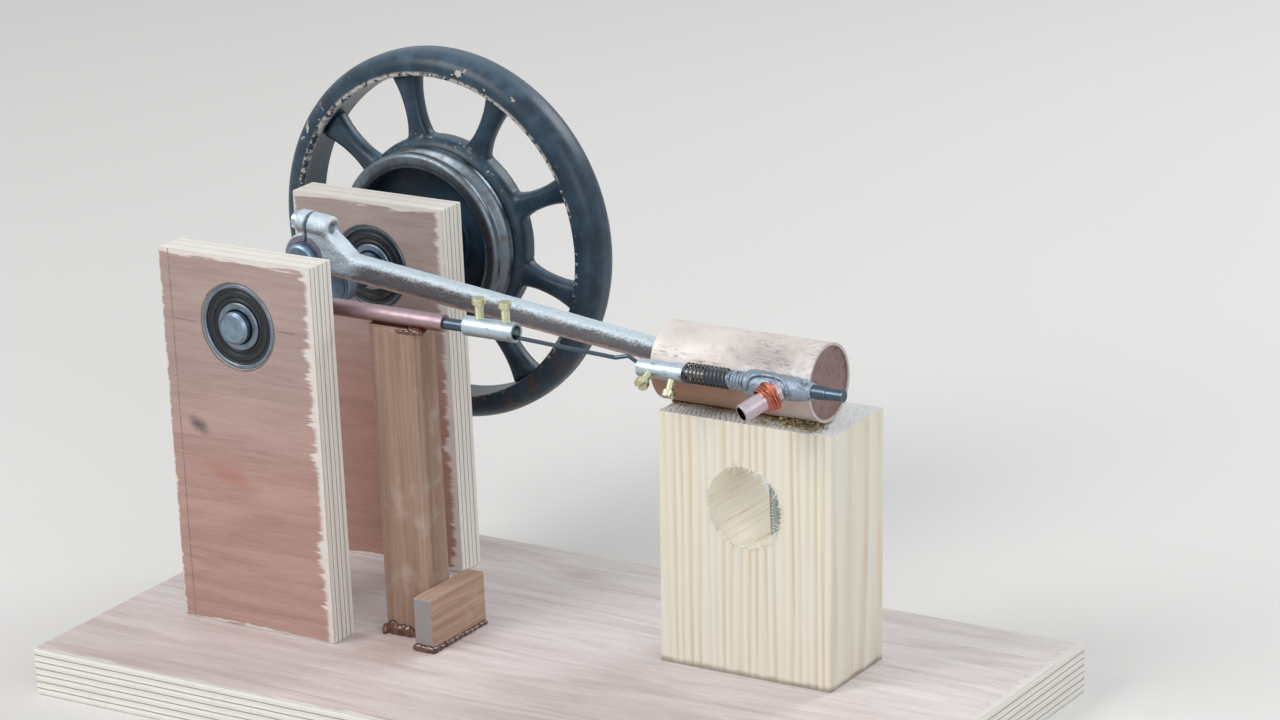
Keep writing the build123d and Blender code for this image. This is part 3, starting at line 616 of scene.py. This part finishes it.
def soften(node, finish, radius, segments=3):
    """Stands for a CAD node with a merged copy of its mesh whose sharp edges are rounded."""
    bm = bmesh.new()
    bm.from_mesh(frame["nodes"][node].data)
    bmesh.ops.remove_doubles(bm, verts=bm.verts, dist=2e-6)
    bmesh.ops.dissolve_limit(bm, angle_limit=radians(0.4), verts=bm.verts, edges=bm.edges)
    piece = show(f"{node}_finished", as_mesh(bm, node), body_of(node), finish)
    bevel = piece.modifiers.new("rounded edges", "BEVEL")
    bevel.width, bevel.segments, bevel.limit_method = radius * MM, segments, "ANGLE"
    bevel.angle_limit, bevel.use_clamp_overlap, bevel.harden_normals = radians(35.0), True, True
    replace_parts(piece, node)


def along(origin, direction, turn=0.0):
    """A frame in millimetres whose z axis points along a direction, scaled to metres."""
    z = Vector(direction).normalized()
    return Matrix.Scale(MM, 4) @ Matrix.Translation(origin) @ z.to_track_quat("Z", "X").to_matrix().to_4x4() @ \
        Matrix.Rotation(turn, 4, "Z")


def skin(bm, rings):
    """Quads from each ring of points to the next."""
    for a, b in zip(rings, rings[1:]):
        for i in range(len(a)):
            bm.faces.new((a[i], a[(i + 1) % len(a)], b[(i + 1) % len(a)], b[i]))


def lathe(profile, matrix, steps):
    """A closed profile of (radius, height) points turned about the z axis of a frame."""
    bm = bmesh.new()
    rings = [[bm.verts.new((r * cos(tau * i / steps), r * sin(tau * i / steps), h)) for i in range(steps)]
             for r, h in profile]
    skin(bm, rings + rings[:1])
    bmesh.ops.recalc_face_normals(bm, faces=bm.faces)
    mesh = as_mesh(bm, "lathe")
    mesh.transform(matrix)
    return mesh


def rounded(points, radius, steps=4):
    """A closed profile with its corners rounded by small arcs."""
    result = []
    for i, p in enumerate(points):
        p = Vector(p)
        before, after = Vector(points[i - 1]) - p, Vector(points[(i + 1) % len(points)]) - p
        reach = min(radius, before.length / 2.2, after.length / 2.2)
        a, b = p + before.normalized() * reach, p + after.normalized() * reach
        for k in range(steps + 1):
            t = k / steps
            result.append(tuple(a * (1 - t) ** 2 + p * 2 * t * (1 - t) + b * t**2))
    return result


def remeshed(bm, voxel, smoothing):
    """Melts a bmesh of overlapping solids, in millimetres, into one skin and softens its creases."""
    holder = linked("cast", as_mesh(bm, "cast"))
    melt = holder.modifiers.new("melt", "REMESH")
    melt.mode, melt.voxel_size = "VOXEL", voxel
    soft = holder.modifiers.new("soften", "SMOOTH")
    soft.factor, soft.iterations = 0.5, smoothing
    result = evaluated(holder)
    result.transform(Matrix.Scale(MM, 4))
    return result


def add_loft(bm, sections):
    """Adds a closed skin through rings of points."""
    rings = [[bm.verts.new(p) for p in section] for section in sections]
    skin(bm, rings)
    bm.faces.new(rings[0][::-1])
    bm.faces.new(rings[-1])


def lumps(name, balls, finish, seed, voxel=0.35):
    """A bead or puddle melted together from flattened balls: (x, y, z, radius x, y, z)."""
    bm = bmesh.new()
    for x, y, z, rx, ry, rz in balls:
        matrix = Matrix.Translation((x, y, z)) @ Matrix.Diagonal((rx, ry, rz, 1.0))
        made = bmesh.ops.create_icosphere(bm, subdivisions=3, radius=1.0, matrix=matrix)
        for vert in made["verts"]:
            push = noise.noise(vert.co * 0.6 + Vector((seed * 7.3, 0, 0)))
            vert.co += (vert.co - Vector((x, y, z))) * push * 0.3
    return show(name, remeshed(bm, voxel, 6), "stand", finish, 180.0)


# Pieces that only get a finish
for node, finish in {
    "front_bearing_outer_ring": "bearing_ring", "front_bearing_inner_ring": "bearing_ring",
    "rear_bearing_outer_ring": "rear_ring_painted_shade", "rear_bearing_inner_ring": "bearing_ring",
    "front_journal": "shaft", "main_shaft": "shaft", "valve_cam": "shaft", "crank_pin": "pin",
    "piston": "piston", "wrist_pin": "piston", "cylinder_cap": "disc",
    "guide_saddle": "saddle", "guide_tube": "copper", "inlet_pipe": "inlet", "push_rod": "push_rod",
    "link_wire": "push_rod", "valve_stem": "piston", "valve_spring": "spring", "valve_plug": "push_rod",
    "flywheel_rim": "rim",
}.items():
    coat(node, finish)

# Pieces with softened edges: their finish, the edges' radius and their slot
for node, finish, radius, slot in (
        ("base_board", "base_board", 0.5, "base_plywood"), ("front_upright", "front_upright", 0.4, "plywood"),
        ("rear_upright", "rear_upright", 0.4, "plywood"), ("cylinder_block", "cylinder_block", 0.5, "pine"),
        ("guide_post", "guide_post", 0.7, "dark_wood"), ("post_brace", "post_brace", 0.8, "dark_wood"),
        ("front_crank_web", "web", 0.5, "dark_steel"), ("rear_crank_web", "web", 0.5, "dark_steel"),
        ("pinch_screw", "pinch", 0.3, "bright_steel"), ("cylinder_tube", "tube", 0.25, "cylinder_brass"),
        ("front_coupler", "plated", 0.25, "bright_steel"), ("rear_coupler", "plated", 0.25, "bright_steel")):
    soften(node, finish, radius)
for coupler in ("front", "rear"):
    for side in ("left", "right"):
        soften(f"{coupler}_coupler_{side}_screw", "brass", 0.18, segments=2)

# Connecting rod


def rod_casting():
    """The rod with the soft corners and uneven skin of a casting."""
    bm = bmesh.new()
    bm.from_mesh(frame["nodes"]["connecting_rod"].data)
    bmesh.ops.remove_doubles(bm, verts=bm.verts, dist=2e-6)
    bm.transform(Matrix.Scale(1000.0, 4))
    mesh = remeshed(bm, 0.36, 4)
    bm = bmesh.new()
    bm.from_mesh(mesh)
    wrist = middle("wrist_pin")[0]
    # the shank and neck get rounder; the eye and the piston's end keep their form
    for past_pin, rounds in ((9.0, 14), (10.5, 26)):
        soft = [vert for vert in bm.verts if CRANK_PIN[0] + past_pin < vert.co.x / MM < wrist - 14.0]
        for _ in range(rounds):
            bmesh.ops.smooth_vert(bm, verts=soft, factor=0.5, use_axis_x=True, use_axis_y=True, use_axis_z=True)
    bm.to_mesh(mesh)
    bm.free()
    normals = [vert.normal.copy() for vert in mesh.vertices]
    for vert, normal in zip(mesh.vertices, normals):
        place = vert.co * 1000.0
        vert.co += normal * (noise.noise(place * 0.35) * 0.10 + noise.noise(place * 1.3) * 0.05 - 0.03) * MM
    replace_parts(show("connecting_rod_cast", mesh, "rod_group", "rod", 180.0), "connecting_rod")


rod_casting()

# Bearing seals


def bearing_seal(node):
    """A sealed bearing's two rubber rings: a raised lip at the inner ring and two shallow steps."""
    low, high = corners(node)
    inner, outer = 8.95, (high[0] - low[0]) / 2
    front = [(inner, 0.55), (inner + 0.35, 0.10), (inner + 0.95, 0.05), (inner + 1.25, 0.50), (inner + 1.9, 0.55),
             (inner + 2.2, 0.02), (outer - 1.5, 0.02), (outer - 1.2, 0.45), (outer - 0.5, 0.5), (outer, 0.2)]
    depth = high[1] - low[1]
    profile = front + [(r, depth - d) for r, d in reversed(front)]
    matrix = along((SHAFT_X, low[1], SHAFT_Z), (0, 1, 0))
    piece = show(f"{node}_rings", lathe(rounded(profile, 0.25), matrix, 160), "stand", "seal")
    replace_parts(piece, node)


bearing_seal("front_bearing_seal")
bearing_seal("rear_bearing_seal")

# Flywheel


def flywheel_spider():
    """Nine cast spokes that flare into a hub disc and towards the rim, melted into one casting."""
    low, high = corners("flywheel_hub")
    wheel_y = middle("flywheel_rim")[1]
    hub_front, hub_radius, hub_depth = wheel_y - 7.4, 39.0, 10.0
    first_spoke, spokes = 103.0, 9
    reach = (high[0] - low[0]) / 2 + 0.6
    bm = bmesh.new()

    def disc(radius, y0, y1, front_edge, back_edge):
        """A turned disc, its rims rounded by quarter circles of these radii."""
        quarter = [tau * i / 24 for i in range(7)]
        profile = [(radius - front_edge * (1 - sin(a)), y0 + front_edge * (1 - cos(a))) for a in quarter]
        profile += [(radius - back_edge * (1 - cos(a)), y1 - back_edge * (1 - sin(a))) for a in quarter]
        add_loft(bm, [[(SHAFT_X + r * cos(tau * i / 96), y, SHAFT_Z + r * sin(tau * i / 96)) for i in range(96)]
                      for r, y in profile])

    def fuller(v):
        return copysign(abs(v) ** 0.8, v)

    disc(hub_radius, hub_front, hub_front + hub_depth, 4.5, 1.5)
    disc(14.0, hub_front - 14.0, hub_front + hub_depth + 5.0, 0.8, 0.8)
    for k in range(spokes):
        turn = radians(first_spoke + 360 / spokes * k)
        out, sideways = Vector((cos(turn), 0, sin(turn))), Vector((-sin(turn), 0, cos(turn)))
        sections = []
        for step in range(17):
            t = step / 16
            r = hub_radius - 5 + t * (reach - hub_radius + 5)
            flare = abs(2 * t - 0.98) ** 2.2
            half_width = 3.75 + 3.5 * flare * (1.2 if t < 0.5 else 0.75)
            half_depth = 3.9 + 0.9 * flare
            centre = Vector((SHAFT_X, wheel_y - 1.2 * (1 - t), SHAFT_Z)) + out * r
            deep = Vector((0, half_depth, 0))
            sections.append([centre + sideways * half_width * fuller(cos(a)) + deep * fuller(sin(a))
                             for a in (tau * i / 24 for i in range(24))])
        add_loft(bm, sections)
    bmesh.ops.recalc_face_normals(bm, faces=bm.faces)
    piece = show("flywheel_spider_cast", remeshed(bm, 0.75, 6), "crankshaft", "spider", 180.0)
    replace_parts(piece, "flywheel_hub")


def pulley():
    """The grooved belt pulley with rounded flanges and a stepped inner edge."""
    low, high = corners("belt_pulley")
    front, back, r = low[1], high[1], (high[0] - low[0]) / 2
    groove, bottom, inner = (front + back) / 2, r - 3.2, r - 6.0
    profile = [(inner, front + 0.8), (inner + 1.6, front), (r - 1.2, front), (r, front + 1.0), (r, groove - 3.0),
               (bottom, groove - 0.8), (bottom, groove + 0.8), (r, groove + 3.0), (r, back), (inner, back)]
    profile = [(radius, y - front) for radius, y in profile]
    mesh = lathe(rounded(profile, 1.4, 5), along((SHAFT_X, front, SHAFT_Z), (0, 1, 0)), 192)
    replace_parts(show("belt_pulley_turned", mesh, "crankshaft", "pulley"), "belt_pulley")


flywheel_spider()
pulley()

# Screw threads, wire wrap


def helix_pattern(name, finish):
    """A wire wound about the z axis: the thread of a screw, or a winding."""
    p = Pattern(name, Radius=1.5, Length=3.0, Turns=5.0, Wire=0.2)
    size = p.size
    spiral = p.node("GeometryNodeCurveSpiral", {}, {"Resolution": 28, "Rotations": size["Turns"],
                                                    "Start Radius": size["Radius"], "End Radius": size["Radius"],
                                                    "Height": size["Length"]})
    section = p.node("GeometryNodeCurvePrimitiveCircle", {"mode": "RADIUS"},
                     {"Resolution": 8, "Radius": size["Wire"]})
    wound = p.node("GeometryNodeCurveToMesh", {}, {"Curve": spiral, "Profile Curve": section, "Fill Caps": True})
    return p.end(wound, FINISHES[finish])


thread = helix_pattern("screw_thread", "brass")
PITCH = 0.62  # of the coupler screws' thread
# each coupler's radius, how far its screws stand out, and each screw's share of the length and tilt
COUPLER_SCREWS = (("front", 3.6, 5.0, (("left", 0.27, 0.0), ("right", 0.8, 0.0))),
                  ("rear", 3.2, 3.4, (("left", 0.27, 115.0), ("right", 0.74, 150.0))))
for coupler, radius, stand, screws in COUPLER_SCREWS:
    low, high = corners(f"{coupler}_coupler")
    for side, share, tilt in screws:
        up = Vector((0, -sin(radians(tilt)), cos(radians(tilt))))
        foot = Vector((low[0] + share * (high[0] - low[0]), *middle(f"{coupler}_coupler")[1:]))
        mesh = thread.mesh("thread", Radius=1.42, Length=stand + 0.3, Turns=(stand + 0.3) / PITCH, Wire=0.2)
        mesh.transform(along(foot + up * (radius - 0.4), up))
        show(f"{coupler}_{side}_thread", mesh, "valve_rod", "brass", 60.0)

coat("block_screw", "zinc")
length = 29.0
mesh = helix_pattern("block_screw_thread", "zinc").mesh("thread", Radius=1.95, Length=length, Turns=24.0, Wire=0.36)
x, y, z = middle("block_screw")
mesh.transform(along((x, y, z - length / 2), (0, 0, 1)))
show("block_screw_windings", mesh, "stand", "zinc", 60.0)


def wire_wrap():
    """Bare copper wire wound about the inlet's root, in four uneven layers."""
    out = INLET_OUT
    valve = INLET + out * ((middle("valve_stem")[1] - INLET.y) / out.y)
    winding = helix_pattern("inlet_winding", "wire_wrap")
    bm = bmesh.new()
    # each layer's radius, start, length, turns and the angle it begins at
    for radius, start, length, turns, turn in ((3.8, 4.8, 4.9, 7.2, 0.4), (4.35, 5.2, 4.0, 5.6, 2.0),
                                               (4.8, 5.0, 3.0, 3.4, 4.0), (5.1, 5.6, 1.6, 1.6, 5.1)):
        mesh = winding.mesh("winding", Radius=radius, Length=length, Turns=turns, Wire=0.33)
        for vert in mesh.vertices:
            vert.co += noise.noise_vector(vert.co * 0.28 + Vector((turn * 5, 0, 0))) * 0.8
        mesh.transform(along(valve + out * start, out, turn))
        bm.from_mesh(mesh)
    mesh = as_mesh(bm, "inlet_winding")
    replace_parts(show("inlet_wire_wrap", mesh, "stand", "wire_wrap", 60.0), "inlet_collar")


wire_wrap()

# Torn wood and crumbs


def splinters():
    """Torn fibres round the mouth of the bore. Each stands out of the block's face at a tilt of its own."""
    face = corners("cylinder_block")[0][1]
    p = Pattern("bore_splinters", Radius=14.9, Count=170, Seed=4)
    size = p.size
    circle = p.node("GeometryNodeCurvePrimitiveCircle", {"mode": "RADIUS"},
                    {"Resolution": 128, "Radius": size["Radius"]})
    points = p.node("GeometryNodeCurveToPoints", {"mode": "COUNT"}, {"Curve": circle, "Count": size["Count"]})
    sliver = p.node("GeometryNodeMeshCone", {}, {"Vertices": 5, "Radius Top": 0.03, "Radius Bottom": 0.26,
                                                 "Depth": 2.3}, "Mesh")

    def drawn(low, high):
        return p.node("FunctionNodeRandomValue", {"data_type": "FLOAT_VECTOR"},
                      {"Min": low, "Max": high, "Seed": size["Seed"]})

    placed = p.node("GeometryNodeInstanceOnPoints", {},
                    {"Points": points, "Instance": sliver, "Rotation": drawn((-1.2, -1.2, -1.5), (1.2, 1.2, 1.5)),
                     "Scale": drawn((0.5, 0.5, 0.3), (1.3, 1.3, 1.5))})
    mesh = p.end(placed, FINISHES["splinter"]).mesh("slivers", Seed=4)
    bore = (BLOCK_BORE[0], face + 0.05, BLOCK_BORE[1])
    mesh.transform(along(bore, (0, -1, 0)))
    show("bore_splinters", mesh, "stand", "splinter", 60.0)


splinters()


def crumbs(name, count, corner, span, sizes, seed):
    """Loose grains of solder in a box from a corner, on the block beside the valve."""
    rng = random.Random(seed)
    bm = bmesh.new()
    for _ in range(count):
        size = sizes[0] + (sizes[1] - sizes[0]) * rng.random() ** 2
        at = Vector([c + s * rng.random() for c, s in zip(corner, span)])
        turn = Matrix.Rotation(rng.random() * tau, 4, (rng.random() - 0.5, rng.random() - 0.5, 1))
        shape = Matrix.Diagonal((size, size * (0.5 + rng.random()), size * 0.6, 1.0))
        matrix = Matrix.Translation(at) @ turn @ shape
        for vert in bmesh.ops.create_icosphere(bm, subdivisions=1, radius=1.0, matrix=matrix)["verts"]:
            vert.co += noise.noise_vector(vert.co * 2.1) * size * 0.5
    mesh = as_mesh(bm, name)
    mesh.transform(Matrix.Scale(MM, 4))
    show(name, mesh, "stand", "crumb", 40.0)


block_top = corners("cylinder_block")[1][2]
crumbs("solder_crumbs", 120, (84, 6.8, block_top), (27, 7.0, 0.8), (0.2, 0.6), 3)
crumbs("solder_heap", 70, (92, 9.5, block_top + 0.4), (16, 3.5, 2.2), (0.3, 0.8), 9)

# Glue, flux and solder

post_low, post_high = corners("guide_post")
brace_low, brace_high = corners("post_brace")
floor_z = post_low[2]
lumps("post_glue", [(post_low[0] + 3 + 3.4 * k, post_low[1] - 0.2, floor_z + 1.6, 3.0, 1.5, 3.4 - 0.5 * k)
                    for k in range(5)] + [(post_low[0] - 0.2, post_low[1] + 3.2 * k, floor_z + 1.2, 1.4, 2.6, 2.2)
                                          for k in range(4)], "glue", seed=2)
brace_x, guide_y, cylinder_y = middle("post_brace")[0], middle("guide_tube")[1], middle("cylinder_tube")[1]
lumps("brace_glue", [(brace_x + dx, brace_low[1] - 0.1, floor_z + 0.9, 2.6, 1.3, 1.8) for dx in (-2.6, 0, 2.6)]
      + [(brace_high[0] + 0.1, brace_low[1] + 1 + 3.1 * k, floor_z + 0.7, 1.2, 2.4, 1.5 - 0.05 * k)
         for k in range(11)], "glue", seed=5)
lumps("saddle_glue", [(post_high[0] - 1.5 + 1.3 * k, guide_y - 1.0, post_high[2] + 0.4 - 0.3 * k, 1.6, 3.0, 1.3)
                      for k in range(4)]
      + [(post_high[0] - 6 + 3 * k, post_low[1] - 0.1, post_high[2] - 0.6, 1.8, 0.7, 1.0) for k in range(3)],
      "glue", seed=8)
bed_low, bed_high = corners("cylinder_bedding")
bedding = []
for k in range(17):
    x = bed_low[0] + 1.8 + k * (bed_high[0] - bed_low[0] - 3.6) / 16
    for side in (-1, 1):
        y = cylinder_y + side * (2.6 + 0.7 * sin(k * 1.9 + side))
        bedding.append((x, y, block_top + 0.3, 2.9, 1.5 + 0.4 * cos(k * 2.3), 0.9))
    bedding.append((x, cylinder_y, block_top + 0.5, 2.8, 3.6, 0.7))
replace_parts(lumps("cylinder_flux", bedding, "flux", voxel=0.4, seed=11), "cylinder_bedding")
valve_low, valve_high = corners("valve_body")
valve_y, valve_z = middle("valve_body")[1:]


def valve_barrel():
    """The valve's body, with turned ridges behind its thin nose and a tapered tail."""
    length = valve_high[0] - valve_low[0]
    profile = [(1.56, 0.0), (2.7, 0.0), (2.7, 9.6)]
    for k in range(5):
        ridge = 1.25 * k
        profile += [(3.35, 9.8 + ridge), (3.35, 10.5 + ridge), (2.9, 10.7 + ridge), (2.9, 10.95 + ridge)]
    profile += [(4.15, 16.6), (4.2, 18.0), (4.2, length - 6.2), (3.1, length - 0.8), (2.9, length), (1.56, length)]
    matrix = along((valve_low[0], valve_y, valve_z), (1, 0, 0))
    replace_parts(show("valve_barrel", lathe(rounded(profile, 0.25, 3), matrix, 96), "stand", "tinned"),
                "valve_body")


valve_barrel()
lumps("valve_solder", [(84 + 3.4 * k, valve_y + 3.6, valve_z - 0.6 + 0.5 * sin(k * 2.1), 2.6, 1.6, 2.6)
                       for k in range(8)]
      + [(89 + 3.0 * k, valve_y + 1.0, valve_z + 3.6 - 0.12 * k, 2.4, 2.2, 0.9) for k in range(6)],
      "tinned", voxel=0.4, seed=14)


def tie_wire(name, radius, points):
    """A bent, tinned wire. Its points are x, and y and z from the valve's axis."""
    curve = bpy.data.curves.new(name, "CURVE")
    curve.dimensions, curve.bevel_depth, curve.bevel_resolution, curve.use_fill_caps = "3D", radius * MM, 3, True
    spline = curve.splines.new("NURBS")
    spline.points.add(len(points) - 1)
    for point, (x, y, z) in zip(spline.points, points):
        point.co = (x * MM, (valve_y + y) * MM, (valve_z + z) * MM, 1.0)
    spline.order_u, spline.use_endpoint_u, spline.resolution_u = 3, True, 6
    show(name, evaluated(linked(name, curve)), "stand", "tinned", 60.0)


tie_wire("valve_tie_wire", 0.62, ((88.5, -4.3, -0.5), (89.2, -4.0, 2.6), (91.5, -2.6, 4.1), (96.0, -2.0, 4.2),
                                  (101.5, -2.4, 3.9), (104.5, -3.9, 2.2), (105.0, -4.4, -0.2)))

# Studio


def camera():
    """The photograph's camera, fitted to the boards, bearing and block: turned, tilted and slightly rolled."""
    azimuth, elevation, roll = 0.5795, 0.3095, -0.0446
    forward = Vector((-sin(azimuth) * cos(elevation), cos(azimuth) * cos(elevation), -sin(elevation)))
    right = forward.cross(Vector((0, 0, 1))).normalized()
    up = right.cross(forward)
    right, up = cos(roll) * right + sin(roll) * up, cos(roll) * up - sin(roll) * right
    data = bpy.data.cameras.new("camera")
    data.sensor_fit, data.sensor_width, data.lens, data.clip_start = "HORIZONTAL", 36.0, 126.66, 0.05
    view = linked("camera", data)
    view.matrix_world = Matrix.Translation((0.85807, -1.24517, 0.60777)) @ \
        Matrix((right, up, -forward)).transposed().to_4x4()
    bpy.context.scene.camera = view


def lamp(name, place, target, size, watts, color=(1, 1, 1)):
    data = bpy.data.lights.new(name, "AREA")
    data.shape, data.size, data.energy, data.color = "DISK", size, watts, color
    linked(name, data).matrix_world = Matrix.Translation(place) @ \
        (Vector(target) - Vector(place)).to_track_quat("-Z", "Y").to_matrix().to_4x4()


def studio():
    """A plain pale floor and a pale sky that is a little darker near the horizon."""
    size = 4.0
    mesh = bpy.data.meshes.new("floor")
    mesh.from_pydata([(-size, -size, 0), (size, -size, 0), (size, size, 0), (-size, size, 0)], [], [(0, 1, 2, 3)])
    floor = linked("floor", mesh)
    f = Finish("pale_floor")
    mesh.materials.append(f.surface(f.mix(f.noise(0.002, 2.0), (0.80, 0.795, 0.785), (0.77, 0.765, 0.76)), 0.7))
    world = bpy.data.worlds.new("studio")
    bpy.context.scene.world = world
    world.use_nodes = True
    g = Graph(world.node_tree)
    direction = g.node("ShaderNodeTexCoord", output="Generated")
    height = Field(g, g.node("ShaderNodeSeparateXYZ", {}, [direction]).socket.node.outputs["Z"])
    sky = g.node("ShaderNodeValToRGB", {"stops": ((0.0, (0.60, 0.60, 0.60)), (0.25, (0.82, 0.82, 0.825)),
                                                  (0.8, (1.0, 1.0, 1.0)))}, [height])
    rays = g.node("ShaderNodeLightPath").socket.node.outputs
    seen, mirrored, through = (Field(g, rays[f"Is {kind} Ray"]) for kind in ("Camera", "Glossy", "Transmission"))
    strength = seen.most(mirrored).most(through) * 0.40 + 0.52
    background = g.node("ShaderNodeBackground", {}, {"Color": sky, "Strength": strength})
    g.node("ShaderNodeOutputWorld", {}, [background])
    lamp("key", (-0.75, -1.15, 1.25), (0, 0, 0.1), 0.9, 15.0, (1.0, 0.985, 0.965))
    lamp("fill", (1.3, -0.9, 0.7), (0, 0, 0.1), 1.1, 6.0, (0.96, 0.98, 1.0))
    lamp("back", (0.5, 1.3, 1.1), (0, 0, 0.12), 0.7, 9.0, (0.97, 0.985, 1.0))


camera()
studio()
bpy.context.scene.view_settings.view_transform = "Standard"
